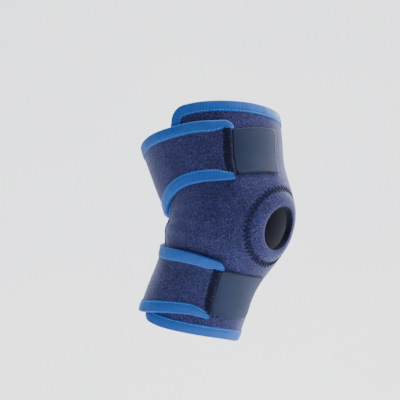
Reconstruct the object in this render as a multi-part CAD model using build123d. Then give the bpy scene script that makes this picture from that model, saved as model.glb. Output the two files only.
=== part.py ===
from build123d import *
import math
import os

# Wrap-round open-patella knee brace for a right leg, worn on a knee bent about 40 degrees.
# Millimetres. +Z is up, -Y is the front (kneecap side), -X is the outer side of the leg, +X the inner.
# The origin is the middle of the knee, on the axis the knee bends about.
# A place on the brace is given by three numbers: the angle round the leg (0 at the front, negative to
# the outer side), the height along the leg's bent centre line, and the depth out from the skin.

# ---- driving sizes --------------------------------------------------------------------------------
GIRTH_SCALE = 1.0        # 1.0 fits a knee of about 370 mm round
BRACE_TOP = 101.0        # highest point of the panel above the knee, along the leg
BRACE_BOTTOM = 119.0     # lowest point of the panel below the knee, along the leg
THIGH_TILT = 15.5        # lean of the thigh at the worn pose, degrees
SHANK_TILT = 24.5        # lean of the shank at the worn pose, degrees
KNEE_ARC = 96.0          # length of centre line over which the knee bend is spread
BEND_SHARPNESS = 0.6     # how much of the bend gathers in the middle of that length

CORNER_TOP = 15.0        # rounded outer corner of the panel at the top
CORNER_FOOT = 12.0
STRAP_CORNER_TOP = 7.0
STRAP_CORNER_FOOT = 3.0

PANEL_T = 3.5            # neoprene laminate
TAPE_T = 0.65            # folded edge binding, one ply
TAPE_W = 9.0             # binding width each side of the edge
TAPE_END_W = 4.2         # binding width where it tapers into a hook tab
SEW = 0.08               # clearance between layers sewn or laminated to each other
LAYER_GAP = 0.3          # clearance between layers that come apart
SPLIT = 0.5              # gap across a fold line between two bodies

HOLE_D = 44.0            # open patella hole
RING_D = 75.0            # middle of the zigzag seam round the hole
RING_STITCH_W = 5.4      # height of the zigzag
RING_STITCHES = 58
BUTTRESS_T = 3.0         # raised pad sewn inside round the hole
HOLE_HEIGHT = -10.5
HOLE_ANGLE = 3.5
THREAD_T = 0.3
THREAD_W = 0.9

TAB_L = 49.0             # free length of a hook tab
TAB_BACK_T = 0.7         # moulded hook tab backing
HOOK_T = 0.5             # hook field under it
TAB_CORNER = 5.0
TONGUE_L = 8.0           # part of the tab sewn in under the strap's end
SEAM_ZIGZAG = 2.9        # half height of the zigzag that holds the tab

# ---- places that follow from them -------------------------------------------------------------------
TAPE_OUT = PANEL_T + SEW + TAPE_T
STRAP_D = TAPE_OUT + LAYER_GAP + TAPE_T + SEW     # underside of a strap where it lies on the panel
TAB_D = PANEL_T + LAYER_GAP                       # tips of the hooks
HINGE_ANGLE = -157.0     # where a strap is bent open at the back
SEAM_ANGLE = 118.0       # where the straps are sewn to the panel on the inner side
KNEE_TOP = 26.0          # upper end of the part of the panel that folds with the knee
KNEE_BOTTOM = -38.0
SEAM_END = TAPE_W + 3.0  # a wing seam stops this far from the strap's edges, clear of the binding
UP, DOWN = BRACE_TOP / 101.0, BRACE_BOTTOM / 119.0


def curve(*table):
    """A smooth function (natural cubic spline) through (place, value) pairs, held level past both ends."""
    xs = [row[0] for row in table]
    ys = [row[1] for row in table]
    bend = spline_bends(xs, ys)

    def value(x):
        x = min(max(x, xs[0]), xs[-1])
        i = max(k for k in range(len(xs) - 1) if xs[k] <= x)
        h = xs[i + 1] - xs[i]
        p, q = (xs[i + 1] - x) / h, (x - xs[i]) / h
        cubic = (p ** 3 - p) * bend[i] + (q ** 3 - q) * bend[i + 1]
        return p * ys[i] + q * ys[i + 1] + cubic * h * h / 6
    return value


def spline_bends(xs, ys):
    """Second derivatives of the natural cubic spline at its points."""
    n = len(xs)
    bend, carry = [0.0] * n, [0.0] * n
    for i in range(1, n - 1):
        share = (xs[i] - xs[i - 1]) / (xs[i + 1] - xs[i - 1])
        p = share * bend[i - 1] + 2
        bend[i] = (share - 1) / p
        turn = (ys[i + 1] - ys[i]) / (xs[i + 1] - xs[i]) - (ys[i] - ys[i - 1]) / (xs[i] - xs[i - 1])
        carry[i] = (6 * turn / (xs[i + 1] - xs[i - 1]) - share * carry[i - 1]) / p
    for i in range(n - 2, 0, -1):
        bend[i] = bend[i] * bend[i + 1] + carry[i]
    return bend


def along(height):
    """Stretch a height with the brace's own length above or below the knee."""
    return height * (UP if height > 0 else DOWN)


def girth(*table):
    return curve(*[(h, v * GIRTH_SCALE) for h, v in table])


# half depths to the front and back and half width of the leg, against height along it
FRONT = girth((-125, 36), (-85, 36), (-50, 40.3), (-20, 57.8), (5, 67), (30, 63), (60, 66), (125, 69.5))
BACK = girth((-125, 53.7), (-85, 52.4), (-50, 53), (-20, 58), (5, 53.5), (30, 55.8), (60, 60.5), (125, 67.8))
SIDE = girth((-125, 48), (-85, 48), (-50, 49.7), (-20, 57), (5, 57), (30, 56.4), (60, 60), (125, 65.6))


def outline(*table):
    """Edge line of a cut panel: angle round the leg to height along it."""
    return curve(*[(a, along(h)) for a, h in table])


PANEL_TOP = outline((-90, 102), (-68, 101), (-54, 98.8), (-36, 95), (-17, 91.3), (0, 88.6), (26, 87.5),
                    (70, 88), (118, 88), (160, 88), (203, 88))
PANEL_FOOT = outline((-130, -119.5), (-107, -119.3), (-87, -118), (-60, -114.5), (-30, -111.3), (-6, -110.5),
                     (28, -113.5), (70, -117), (118, -118), (160, -118), (203, -118))
PANEL_SIDE = curve((along(-119), -122), (along(-100), -126), (-60, -142), (-38, -148), (0, -147), (26, -133),
                   (along(60), -106), (along(88), -89), (along(101), -85))
UPPER_TOP = outline((-157, 88), (-135, 87.7), (-107, 86.3), (-88, 83.4), (-72, 81), (-58, 77.8), (-50, 75.8),
                    (-38, 75))
UPPER_FOOT = outline((-157, 12), (-140, 13.5), (-118, 22), (-104, 26.5), (-90, 28), (-76, 26.6), (-61, 23.9),
                     (-53, 22.9), (-38, 22.6))
LOWER_TOP = outline((-157, -49), (-138, -49), (-119, -47.2), (-89, -41.2), (-69, -39.4), (-53, -39.6),
                    (-34, -40.5))
LOWER_FOOT = outline((-157, -118), (-127, -115), (-98, -106.5), (-76, -99), (-57, -94), (-46, -92.7),
                     (-34, -92.5))
UPPER_ROOT_FOOT = outline((118, 12), (160, 12), (203, 12))
LOWER_ROOT_TOP = outline((118, -49), (160, -49), (203, -49))
UPPER_END = curve((along(20), -46.0), (along(78), -39.5))
LOWER_END = curve((along(-96), -34.0), (along(-36), -44.5))
TAB_HEIGHTS = {"upper": (along(24.5), along(67.7)), "lower": (along(-89), along(-44.5))}


def ramp(angle):
    """Depth of a strap's sewn end: flush at the seam, raised over the panel's edge at the fold line."""
    u = min(max((angle - SEAM_ANGLE - 4) / 62, 0), 1)
    return STRAP_D * (u - math.sin(2 * math.pi * u) / (2 * math.pi))


def leg_line(reach=170, steps=340):
    """The bent centre line: forward place, height and lean, for each step up the leg."""
    tilt = math.radians(THIGH_TILT + SHANK_TILT)
    low = -KNEE_ARC * SHANK_TILT / (THIGH_TILT + SHANK_TILT)
    rows = []
    for i in range(2 * steps + 1):
        t = reach * (i - steps) / steps
        u = min(max((t - low) / KNEE_ARC, 0), 1)
        gather = BEND_SHARPNESS * math.sin(2 * math.pi * u) / (2 * math.pi)
        rows.append([t, 0.0, 0.0, tilt * (u - gather) - math.radians(SHANK_TILT)])
    for order in (range(steps + 1, 2 * steps + 1), range(steps - 1, -1, -1)):
        for i in order:
            last = rows[i - 1] if i > steps else rows[i + 1]
            lean = (rows[i][3] + last[3]) / 2
            rows[i][1] = last[1] + (rows[i][0] - last[0]) * math.sin(lean)
            rows[i][2] = last[2] + (rows[i][0] - last[0]) * math.cos(lean)
    return rows


LEG_LINE = leg_line()


def centre(height):
    spacing = LEG_LINE[1][0] - LEG_LINE[0][0]
    place = (height - LEG_LINE[0][0]) / spacing
    i = min(max(int(place), 0), len(LEG_LINE) - 2)
    u = place - i
    return [p + u * (q - p) for p, q in zip(LEG_LINE[i][1:], LEG_LINE[i + 1][1:])]


def skin(angle, height, depth):
    """Point on or above the skin of the bent leg."""
    y, z, lean = centre(height)
    a = math.radians(angle)
    front, back = FRONT(height), BACK(height)
    f = (front - back) / 2 + ((front + back) / 2 + depth) * math.cos(a)
    return Vector((SIDE(height) + depth) * math.sin(a), y - f * math.cos(lean), z + f * math.sin(lean))


def outward(angle, height):
    """Unit direction straight out from the skin."""
    round_ = skin(angle + 0.5, height, 0) - skin(angle - 0.5, height, 0)
    up = skin(angle, height + 0.5, 0) - skin(angle, height - 0.5, 0)
    return round_.cross(up).normalized()


def shell(points, thickness, out):
    """A smooth sheet through rows of points, thickened towards `out`."""
    face = Face.make_surface_from_array_of_points(points, tol=0.01, min_deg=3, max_deg=3)
    middle = points[len(points) // 2][len(points[0]) // 2]
    side = 1 if face.normal_at(middle).dot(out) > 0 else -1
    return Solid.thicken(face, side * thickness)


class Region:
    """A piece of the brace cut between two side lines and two cross lines, with rounded corners."""

    def __init__(self, left, right, bottom, top, corners=None):
        self.left = left if callable(left) else lambda h: left
        self.right = right if callable(right) else lambda h: right
        self.bottom = bottom if callable(bottom) else lambda a: bottom
        self.top = top if callable(top) else lambda a: top
        self.corners = corners or {}      # radius at (0 left or 1 right, 0 bottom or 1 top)

    def angle(self, s, height):
        return self.left(height) + s * (self.right(height) - self.left(height))

    def end(self, s, line):
        height = line(self.angle(s, 0))
        for _ in range(6):
            height = line(self.angle(s, height))
        return height

    def at(self, s, r):
        """Angle and height at fractions across and up the piece."""
        low, high = self.end(s, self.bottom), self.end(s, self.top)
        height = low + r * (high - low)
        return self.angle(s, height), height

    def solid(self, depth, thickness, cols=20, rows=8):
        depth_at = depth if callable(depth) else lambda a: depth
        grid = []
        for i in range(cols + 1):
            places = [self.at(i / cols, j / rows) for j in range(rows + 1)]
            grid.append([skin(a, h, depth_at(a)) for a, h in places])
        piece = shell(grid, thickness, outward(*self.at(0.5, 0.5)))
        for (s, r), radius in self.corners.items():
            piece = single(piece - self.corner_cutter(s, r, radius))
        return piece

    def corner(self, s, r):
        """A corner's place, its directions along the side and along the cross line, and its half angle."""
        place = self.at(s, r)
        here = skin(*place, 0)
        side = (skin(*self.at(s, r + (0.08 if r == 0 else -0.08)), 0) - here).normalized()
        cross = (skin(*self.at(s + (0.04 if s == 0 else -0.04), r), 0) - here).normalized()
        half = math.acos(side.dot(cross)) / 2
        return place, side, cross, half

    def corner_cutter(self, s, r, radius):
        place, side, cross, half = self.corner(s, r)
        plane = plane_on(*place)
        reach = radius / math.tan(half)
        middle = (side + cross).normalized()
        spots = [side * reach, side * reach - cross * 6, middle * -9, cross * reach - side * 6, cross * reach,
                 middle * (radius / math.sin(half))]
        flat = [(p.dot(plane.x_dir), p.dot(plane.y_dir)) for p in spots]
        blank = Polygon(*flat, align=None) - Pos(*flat[-1]) * Circle(radius)
        return extrude(plane * blank, amount=14, both=True)

    def arc(self, s, r, radius, n=8):
        """Places round a rounded corner, from the side line to the cross line."""
        place, side, cross, half = self.corner(s, r)
        centre = (side + cross).normalized() * (radius / math.sin(half))
        first, last = side * (radius / math.tan(half)) - centre, cross * (radius / math.tan(half)) - centre
        whole = math.acos(first.dot(last) / radius ** 2)
        places = []
        for k in range(n + 1):
            u = k / n
            spot = centre + (first * math.sin((1 - u) * whole) + last * math.sin(u * whole)) / math.sin(whole)
            places.append(inset(*place, spot.normalized(), spot.length))
        return places

    def reach(self, s, r):
        radius = self.corners.get((s, r), 0)
        return radius / math.tan(self.corner(s, r)[3]) if radius else 0

    def side_path(self, s, n=24):
        path = [self.at(s, j / n) for j in range(n + 1)]
        return clear_of(clear_of(path, path[0], self.reach(s, 0)), path[-1], self.reach(s, 1))

    def cross_path(self, r, n=60):
        path = [self.at(i / n, r) for i in range(n + 1)]
        return clear_of(clear_of(path, path[0], self.reach(0, r)), path[-1], self.reach(1, r))


def clear_of(path, place, reach):
    """The part of a line further than `reach` from a corner."""
    spot = skin(*place, 0)
    return [p for p in path if reach == 0 or (skin(*p, 0) - spot).length > reach + 0.6]


def even(path, spacing=4.0):
    """The same line with its points evenly spaced on the skin."""
    spots = [skin(a, h, 0) for a, h in path]
    run = [0.0]
    for p, q in zip(spots, spots[1:]):
        run.append(run[-1] + (q - p).length)
    n = max(6, round(run[-1] / spacing))
    out = []
    for k in range(n + 1):
        want = run[-1] * k / n
        i = min(max(j for j in range(len(run)) if run[j] <= want + 1e-9), len(run) - 2)
        u = (want - run[i]) / max(run[i + 1] - run[i], 1e-9)
        out.append(tuple(p + u * (q - p) for p, q in zip(path[i], path[i + 1])))
    return out


def inset(angle, height, step, w):
    """The place w mm from here on the skin, in the flat direction `step`."""
    da = skin(angle + 0.5, height, 0) - skin(angle - 0.5, height, 0)
    dh = skin(angle, height + 0.5, 0) - skin(angle, height - 0.5, 0)
    aa, ah, hh = da.dot(da), da.dot(dh), dh.dot(dh)
    pa, ph = step.dot(da), step.dot(dh)
    det = aa * hh - ah * ah
    return angle + w * (pa * hh - ph * ah) / det, height + w * (ph * aa - pa * ah) / det


def binding(path, side, depth=0.0, width=None, fabric=PANEL_T):
    """Tape folded over a fabric edge. `side` is +1 when the fabric lies to the left of the path."""
    depth_at = depth if callable(depth) else lambda a: depth
    width_at = width or (lambda u: TAPE_W)
    path = even(path)
    radius = fabric / 2 + SEW
    sections = []
    for i, (a, h) in enumerate(path):
        before, after = path[max(i - 1, 0)], path[min(i + 1, len(path) - 1)]
        run = (skin(*after, 0) - skin(*before, 0)).normalized()
        out = outward(a, h)
        step = out.cross(run) * side
        middle = depth_at(a) + fabric / 2
        width_here = width_at(i / (len(path) - 1))
        inner = tape_line(a, h, step, radius, middle, width_here)
        outer = tape_line(a, h, step, radius + TAPE_T, middle, width_here)
        centre = skin(a, h, middle)
        flat = [p - run * (p - centre).dot(run) for p in inner + outer[::-1]]
        sections.append(Wire.make_polygon(flat, close=True))
    return Solid.make_loft(sections)


def tape_line(a, h, step, radius, middle, width):
    """One side of the tape in section: down the outer leg, round the edge, back up the inner leg."""
    turns = [math.pi * k / 4 for k in range(5)]
    spots = [(width, 1), (width * 2 / 3, 1), (width / 3, 1)]
    spots += [(-radius * math.sin(turn), math.cos(turn)) for turn in turns]
    spots += [(width / 3, -1), (width * 2 / 3, -1), (width, -1)]
    return [skin(*inset(a, h, step, w), middle + radius * level) for w, level in spots]


def plane_on(angle, height, depth=0.0):
    """Flat drawing plane lying against the skin, its x axis running round the leg."""
    out = outward(angle, height)
    up = skin(angle, height + 1, 0) - skin(angle, height - 1, 0)
    return Plane(origin=skin(angle, height, depth), x_dir=up.cross(out), z_dir=out)


def disc(plane, radius):
    return extrude(plane * Circle(radius), amount=40, both=True)


def zigzag_ring(plane, radius, height, count):
    """Prism of a zigzag stitch run round in a circle."""
    def star(offset):
        points = []
        for k in range(2 * count):
            r = radius + offset + (height / 2 if k % 2 else -height / 2)
            turn = math.pi * k / count
            points.append((r * math.cos(turn), r * math.sin(turn)))
        return Polygon(*points, align=None)
    return extrude(plane * (star(THREAD_W / 2) - star(-THREAD_W / 2)), amount=40, both=True)


def zigzag_row(plane, length, half, pitch, slant):
    """Prism of a zigzag stitch run in a line up the plane, leaning with the strap's end."""
    count = int(length / pitch)
    left, right = [], []
    for k in range(count + 1):
        y = -length / 2 + length * k / count
        x = (half if k % 2 else -half) + slant * y
        left.append((x - THREAD_W / 2, y))
        right.append((x + THREAD_W / 2, y))
    return extrude(plane * Polygon(*left, *reversed(right), align=None), amount=40, both=True)


def single(shape):
    """The one solid of a cut, without any slivers."""
    return max(shape.solids(), key=lambda s: s.volume)


# ---- the panel --------------------------------------------------------------------------------------
def panel_regions():
    thigh = Region(PANEL_SIDE, SEAM_ANGLE - 0.3, KNEE_TOP + SPLIT / 2, PANEL_TOP,
                   {(0, 1): CORNER_TOP})
    knee = Region(PANEL_SIDE, SEAM_ANGLE - 0.3, KNEE_BOTTOM + SPLIT / 2, KNEE_TOP - SPLIT / 2)
    calf = Region(PANEL_SIDE, SEAM_ANGLE - 0.3, PANEL_FOOT, KNEE_BOTTOM - SPLIT / 2,
                  {(0, 0): CORNER_FOOT})
    return thigh, knee, calf


def patella_pieces(knee):
    """The knee part of the panel with its hole, the pad inside and the seam that holds it."""
    plane = plane_on(HOLE_ANGLE, HOLE_HEIGHT)
    panel = single(knee.solid(0, PANEL_T) - disc(plane, HOLE_D / 2))
    reach = RING_D / 2 + RING_STITCH_W / 2 + 4
    pad_area = Region(-62, 58, KNEE_BOTTOM + 1.8, HOLE_HEIGHT + 29)
    pad = pad_area.solid(-SEW, -BUTTRESS_T)
    pad = single((pad & disc(plane, reach)) - disc(plane, HOLE_D / 2))
    thread_area = Region(-62, 58, KNEE_BOTTOM + 0.6, KNEE_TOP - 0.6)
    thread = thread_area.solid(PANEL_T + SEW, THREAD_T)
    thread = single(thread & zigzag_ring(plane, RING_D / 2, RING_STITCH_W, RING_STITCHES))
    return panel, pad, thread


def panel_bindings(thigh, knee, calf):
    """Blue edge tape round the panel and the sewn ends of the straps."""
    wing_top = [(a, PANEL_TOP(a)) for a in span(SEAM_ANGLE - 0.3, 360 + HINGE_ANGLE - 0.5, 30)]
    wing_foot = [(a, PANEL_FOOT(a)) for a in span(SEAM_ANGLE - 0.3, 360 + HINGE_ANGLE - 0.5, 30)]
    up = thigh.side_path(0)[1:] + thigh.arc(0, 1, CORNER_TOP) + thigh.cross_path(1) + wing_top[2:]
    down = calf.side_path(0, 96)[-5::-1] + calf.arc(0, 0, CORNER_FOOT) + calf.cross_path(0) + wing_foot[2:]
    upper_foot = [(a, UPPER_ROOT_FOOT(a)) for a in span(SEAM_ANGLE + 3.5, 360 + HINGE_ANGLE - 0.5, 30)]
    lower_top = [(a, LOWER_ROOT_TOP(a)) for a in span(SEAM_ANGLE + 3.5, 360 + HINGE_ANGLE - 0.5, 30)]
    inner_foot = max(LOWER_ROOT_TOP(SEAM_ANGLE), KNEE_BOTTOM) + 1
    inner_side = [(SEAM_ANGLE - 0.3, h) for h in span(inner_foot, UPPER_ROOT_FOOT(SEAM_ANGLE) - 3, 20)]
    return {
        "thigh_edge_binding": binding(up, -1, ramp),
        "calf_edge_binding": binding(down, 1, ramp),
        "knee_outer_binding": binding(knee.side_path(0), -1),
        "upper_popliteal_binding": binding(upper_foot, 1, ramp),
        "lower_popliteal_binding": binding(lower_top, -1, ramp),
        "knee_inner_binding": binding(inner_side, 1),
    }


def span(start, stop, n):
    return [start + (stop - start) * i / n for i in range(n + 1)]


def wings():
    """The sewn ends of the two straps, from the inner-side seam to the fold line at the back."""
    ends = (SEAM_ANGLE + 0.3, 360 + HINGE_ANGLE - 0.4)
    upper = Region(*ends, UPPER_ROOT_FOOT, PANEL_TOP).solid(ramp, PANEL_T, 14)
    lower = Region(*ends, PANEL_FOOT, LOWER_ROOT_TOP).solid(ramp, PANEL_T, 14)
    return upper, lower


def wing_seam(low, high):
    """Flat zigzag seam that joins a strap to the inner side of the panel."""
    area = Region(SEAM_ANGLE - 6, SEAM_ANGLE + 6, low, high)
    middle = (low + high) / 2
    prism = zigzag_row(plane_on(SEAM_ANGLE, middle), 400, 2.5, 2.2, 0.0)
    return single(area.solid(PANEL_T + SEW + 0.02, THREAD_T, 4, 6) & prism)


# ---- the straps and their hook tabs -----------------------------------------------------------------
def strap(name, top, foot, end):
    """One strap from the fold line to its tab, with its binding, and the tab sewn under its end."""
    area = Region(HINGE_ANGLE + 0.4, end, foot, top,
                  {(1, 1): STRAP_CORNER_TOP, (1, 0): STRAP_CORNER_FOOT})
    tapered = curve((0, TAPE_W), (0.72, TAPE_W), (0.9, TAPE_END_W), (1, TAPE_END_W))
    pieces = {name + "_strap": area.solid(STRAP_D, PANEL_T)}
    top_path = area.cross_path(1) + area.arc(1, 1, STRAP_CORNER_TOP)[::-1]
    foot_path = area.cross_path(0) + area.arc(1, 0, STRAP_CORNER_FOOT)[::-1][:5]
    pieces[name + "_strap_top_binding"] = binding(top_path, -1, STRAP_D, tapered)
    pieces[name + "_strap_foot_binding"] = binding(foot_path, 1, STRAP_D, tapered)
    pieces.update(hook_tab(name, end))
    return pieces


def hook_tab(name, end):
    low, high = TAB_HEIGHTS[name]
    middle = (low + high) / 2
    per_degree = (skin(end(middle) + 20, middle, TAB_D) - skin(end(middle) + 19, middle, TAB_D)).length

    def beyond(distance):
        return lambda h: end(h) + distance / per_degree
    tab_corners = {(1, 0): TAB_CORNER, (1, 1): TAB_CORNER}
    free = Region(beyond(0.7), beyond(0.7 + TAB_L), low, high, tab_corners)
    hooks = Region(beyond(2.7), beyond(0.7 + TAB_L - 2), low + 2, high - 2, tab_corners)
    tongue = Region(beyond(-TONGUE_L), beyond(-0.3), low + 4, high - 1.5)
    seam = Region(beyond(-TONGUE_L - 2), beyond(-0.5), low + 5, high - 3.5)
    plane = plane_on(end(middle) - TONGUE_L / 2 / per_degree, middle)
    slant = (end(high) - end(low)) * per_degree / (high - low)
    thread = seam.solid(STRAP_D + PANEL_T + SEW, THREAD_T, 4, 4)
    row = zigzag_row(plane, 400, SEAM_ZIGZAG, 1.9, slant)
    return {
        name + "_tab_tongue": tongue.solid(TAB_D + 0.1, HOOK_T + TAB_BACK_T - 0.1, 4, 4),
        name + "_tab_stitching": single(thread & row),
        name + "_tab": free.solid(TAB_D + HOOK_T + SEW, TAB_BACK_T, 8, 6),
        name + "_tab_hooks": hooks.solid(TAB_D, HOOK_T, 8, 6),
    }


def build():
    thigh, knee, calf = panel_regions()
    panel, pad, thread = patella_pieces(knee)
    upper_wing, lower_wing = wings()
    pieces = {
        "thigh_panel": thigh.solid(0, PANEL_T),
        "knee_panel": panel,
        "calf_panel": calf.solid(0, PANEL_T),
        "patella_buttress": pad,
        "patella_stitching": thread,
        "upper_wing": upper_wing,
        "lower_wing": lower_wing,
        "upper_wing_seam": wing_seam(UPPER_ROOT_FOOT(SEAM_ANGLE) + SEAM_END, PANEL_TOP(SEAM_ANGLE) - SEAM_END),
        "lower_wing_seam": wing_seam(PANEL_FOOT(SEAM_ANGLE) + SEAM_END, LOWER_ROOT_TOP(SEAM_ANGLE) - SEAM_END),
    }
    pieces.update(panel_bindings(thigh, knee, calf))
    pieces.update(strap("upper", UPPER_TOP, UPPER_FOOT, UPPER_END))
    pieces.update(strap("lower", LOWER_TOP, LOWER_FOOT, LOWER_END))
    return pieces


os.makedirs("parts", exist_ok=True)
for piece_name, piece in build().items():
    piece.label = piece_name
    print(piece_name, round(piece.volume, 1), piece.is_valid)
    export_step(piece, os.path.join("parts", piece_name + ".step"))
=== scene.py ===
"""Looks of a wrap-round open-patella knee brace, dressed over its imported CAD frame.

Every soft layer is drawn on the form of the bent leg by two numbers, the angle round the leg and the
height along it, and stands off the skin by a depth. Sizes are millimetres until a mesh is made.
"""
import logging
import math
from dataclasses import dataclass, field
from enum import Enum
from typing import Callable, Sequence

import bpy
import numpy as np
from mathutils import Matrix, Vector
from mathutils.geometry import delaunay_2d_cdt
from mathutils.kdtree import KDTree


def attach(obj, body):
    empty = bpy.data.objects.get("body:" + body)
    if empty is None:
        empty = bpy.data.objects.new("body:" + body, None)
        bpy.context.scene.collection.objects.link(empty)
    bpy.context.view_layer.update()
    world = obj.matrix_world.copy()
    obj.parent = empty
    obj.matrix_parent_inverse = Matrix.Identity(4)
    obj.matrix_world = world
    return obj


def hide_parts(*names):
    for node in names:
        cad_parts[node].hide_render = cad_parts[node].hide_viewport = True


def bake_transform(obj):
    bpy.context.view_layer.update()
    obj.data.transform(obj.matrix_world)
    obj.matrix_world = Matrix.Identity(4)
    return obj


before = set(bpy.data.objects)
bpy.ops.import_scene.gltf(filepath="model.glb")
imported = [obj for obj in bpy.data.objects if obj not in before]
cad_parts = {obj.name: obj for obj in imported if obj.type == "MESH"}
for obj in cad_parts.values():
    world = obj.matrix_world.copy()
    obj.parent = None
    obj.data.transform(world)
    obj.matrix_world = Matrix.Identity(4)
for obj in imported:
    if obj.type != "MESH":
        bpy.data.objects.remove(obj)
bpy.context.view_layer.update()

logging.basicConfig(level=logging.INFO, format="%(message)s")
LOG = logging.getLogger("brace")
MM = 0.001
STRETCH = 1.12          # millimetres round the leg per degree of angle, about, when a piece is laid flat
BINDING_WIDTH = 9.0     # millimetres of folded binding that show from the edge
SEWN_AT = 0.84          # share of a binding's width at which it is sewn down
WAVE_MM = 314.0         # a wave texture at scale 1 makes one band in this many millimetres
Place = tuple[float, float]
Depth = Callable[[np.ndarray, np.ndarray], np.ndarray]


class Spline:
    """Natural cubic spline through a table, held level past its ends."""

    def __init__(self, table: Sequence[Place]) -> None:
        """Args:
            table: (place, value) pairs in rising order.
        """
        self.x = np.array([row[0] for row in table], float)
        self.y = np.array([row[1] for row in table], float)
        step = np.diff(self.x)
        n = len(self.x)
        system = np.eye(n)
        turn = np.zeros(n)
        for i in range(1, n - 1):
            system[i, i - 1:i + 2] = step[i - 1] / 6, (step[i - 1] + step[i]) / 3, step[i] / 6
            turn[i] = (self.y[i + 1] - self.y[i]) / step[i] - (self.y[i] - self.y[i - 1]) / step[i - 1]
        self.bend = np.linalg.solve(system, turn)

    def __call__(self, place: np.ndarray) -> np.ndarray:
        """Args:
            place: places to read the line at.

        Returns:
            The value at each place.
        """
        x = np.clip(np.asarray(place, float), self.x[0], self.x[-1])
        i = np.clip(np.searchsorted(self.x, x, side="right") - 1, 0, len(self.x) - 2)
        h = self.x[i + 1] - self.x[i]
        p, q = (self.x[i + 1] - x) / h, (x - self.x[i]) / h
        cubic = (p ** 3 - p) * self.bend[i] + (q ** 3 - q) * self.bend[i + 1]
        return p * self.y[i] + q * self.y[i + 1] + cubic * h * h / 6


@dataclass
class LegForm:
    """The skin of the bent leg that the brace is shaped to, the same as the CAD's."""

    thigh_tilt: float = 15.5
    shank_tilt: float = 24.5
    arc: float = 96.0
    sharpness: float = 0.6
    heights: tuple[float, ...] = (-125, -85, -50, -20, 5, 30, 60, 125)
    front: tuple[float, ...] = (36, 36, 40.3, 57.8, 67, 63, 66, 69.5)
    back: tuple[float, ...] = (53.7, 52.4, 53, 58, 53.5, 55.8, 60.5, 67.8)
    side: tuple[float, ...] = (48, 48, 49.7, 57, 57, 56.4, 60, 65.6)

    def __post_init__(self) -> None:
        """Prepares the splines and the bent centre line."""
        self.at_front = Spline(list(zip(self.heights, self.front)))
        self.at_back = Spline(list(zip(self.heights, self.back)))
        self.at_side = Spline(list(zip(self.heights, self.side)))
        tilt = math.radians(self.thigh_tilt + self.shank_tilt)
        low = -self.arc * self.shank_tilt / (self.thigh_tilt + self.shank_tilt)
        self.line = np.linspace(-170, 170, 681)
        u = np.clip((self.line - low) / self.arc, 0, 1)
        self.lean = tilt * (u - self.sharpness * np.sin(2 * np.pi * u) / (2 * np.pi))
        self.lean -= math.radians(self.shank_tilt)
        self.forward = self._run(np.sin(self.lean))
        self.rise = self._run(np.cos(self.lean))

    def _run(self, rate: np.ndarray) -> np.ndarray:
        """Args:
            rate: change per millimetre at each point of the centre line.

        Returns:
            The running sum of a rate along the centre line, zero at the knee.
        """
        steps = np.diff(self.line) * (rate[1:] + rate[:-1]) / 2
        total = np.concatenate([[0.0], np.cumsum(steps)])
        return total - np.interp(0.0, self.line, total)

    def points(self, angle: np.ndarray, height: np.ndarray, depth: np.ndarray) -> np.ndarray:
        """Args:
            angle: degrees round the leg, 0 at the front, negative to the outer side.
            height: millimetres along the centre line.
            depth: millimetres out from the skin.

        Returns:
            One row of x, y, z in millimetres for each place.
        """
        angle, height, depth = np.broadcast_arrays(*[np.asarray(v, float) for v in (angle, height, depth)])
        a = np.radians(angle)
        y, z = np.interp(height, self.line, self.forward), np.interp(height, self.line, self.rise)
        lean = np.interp(height, self.line, self.lean)
        front, back = self.at_front(height), self.at_back(height)
        f = (front - back) / 2 + ((front + back) / 2 + depth) * np.cos(a)
        x = (self.at_side(height) + depth) * np.sin(a)
        return np.stack([x, y - f * np.cos(lean), z + f * np.sin(lean)], -1)

    def frame_at(self, angle: np.ndarray, height: np.ndarray) -> tuple[np.ndarray, np.ndarray, np.ndarray]:
        """Args:
            angle: degrees round the leg, 0 at the front, negative to the outer side.
            height: millimetres along the centre line.

        Returns:
            The change of place per degree and per millimetre of height, and the outward normal.
        """
        round_ = self.points(np.add(angle, 0.5), height, 0) - self.points(np.add(angle, -0.5), height, 0)
        up = self.points(angle, np.add(height, 0.5), 0) - self.points(angle, np.add(height, -0.5), 0)
        out = np.cross(round_, up)
        return round_, up, out / np.linalg.norm(out, axis=-1, keepdims=True)

    def shift(self, angle: np.ndarray, height: np.ndarray, step: np.ndarray) -> tuple[np.ndarray, np.ndarray]:
        """Args:
            angle: degrees round the leg, 0 at the front, negative to the outer side.
            height: millimetres along the centre line.
            step: steps in space, in millimetres.

        Returns:
            The places moved by a step in space, in millimetres, kept on the skin.
        """
        da, dh, _ = self.frame_at(angle, height)
        aa, ah, hh = (da * da).sum(-1), (da * dh).sum(-1), (dh * dh).sum(-1)
        pa, ph = (step * da).sum(-1), (step * dh).sum(-1)
        det = aa * hh - ah * ah
        return angle + (pa * hh - ph * ah) / det, height + (ph * aa - pa * ah) / det

    def places(self, points: np.ndarray) -> tuple[np.ndarray, np.ndarray]:
        """Args:
            points: rows of x, y, z in millimetres.

        Returns:
            The angle and height of each point.
        """
        height = np.clip(points[:, 2].astype(float), -150, 150)
        for _ in range(70):
            lean = np.interp(height, self.line, self.lean)
            dy = points[:, 1] - np.interp(height, self.line, self.forward)
            dz = points[:, 2] - np.interp(height, self.line, self.rise)
            height = np.clip(height + 0.5 * (dy * np.sin(lean) + dz * np.cos(lean)), -160, 160)
        lean = np.interp(height, self.line, self.lean)
        dy = points[:, 1] - np.interp(height, self.line, self.forward)
        dz = points[:, 2] - np.interp(height, self.line, self.rise)
        f = -dy * np.cos(lean) + dz * np.sin(lean)
        front, back = self.at_front(height), self.at_back(height)
        angle = np.degrees(np.arctan2(points[:, 0] / self.at_side(height),
                                      (f - (front - back) / 2) / ((front + back) / 2)))
        return angle, height


LEG = LegForm()


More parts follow.
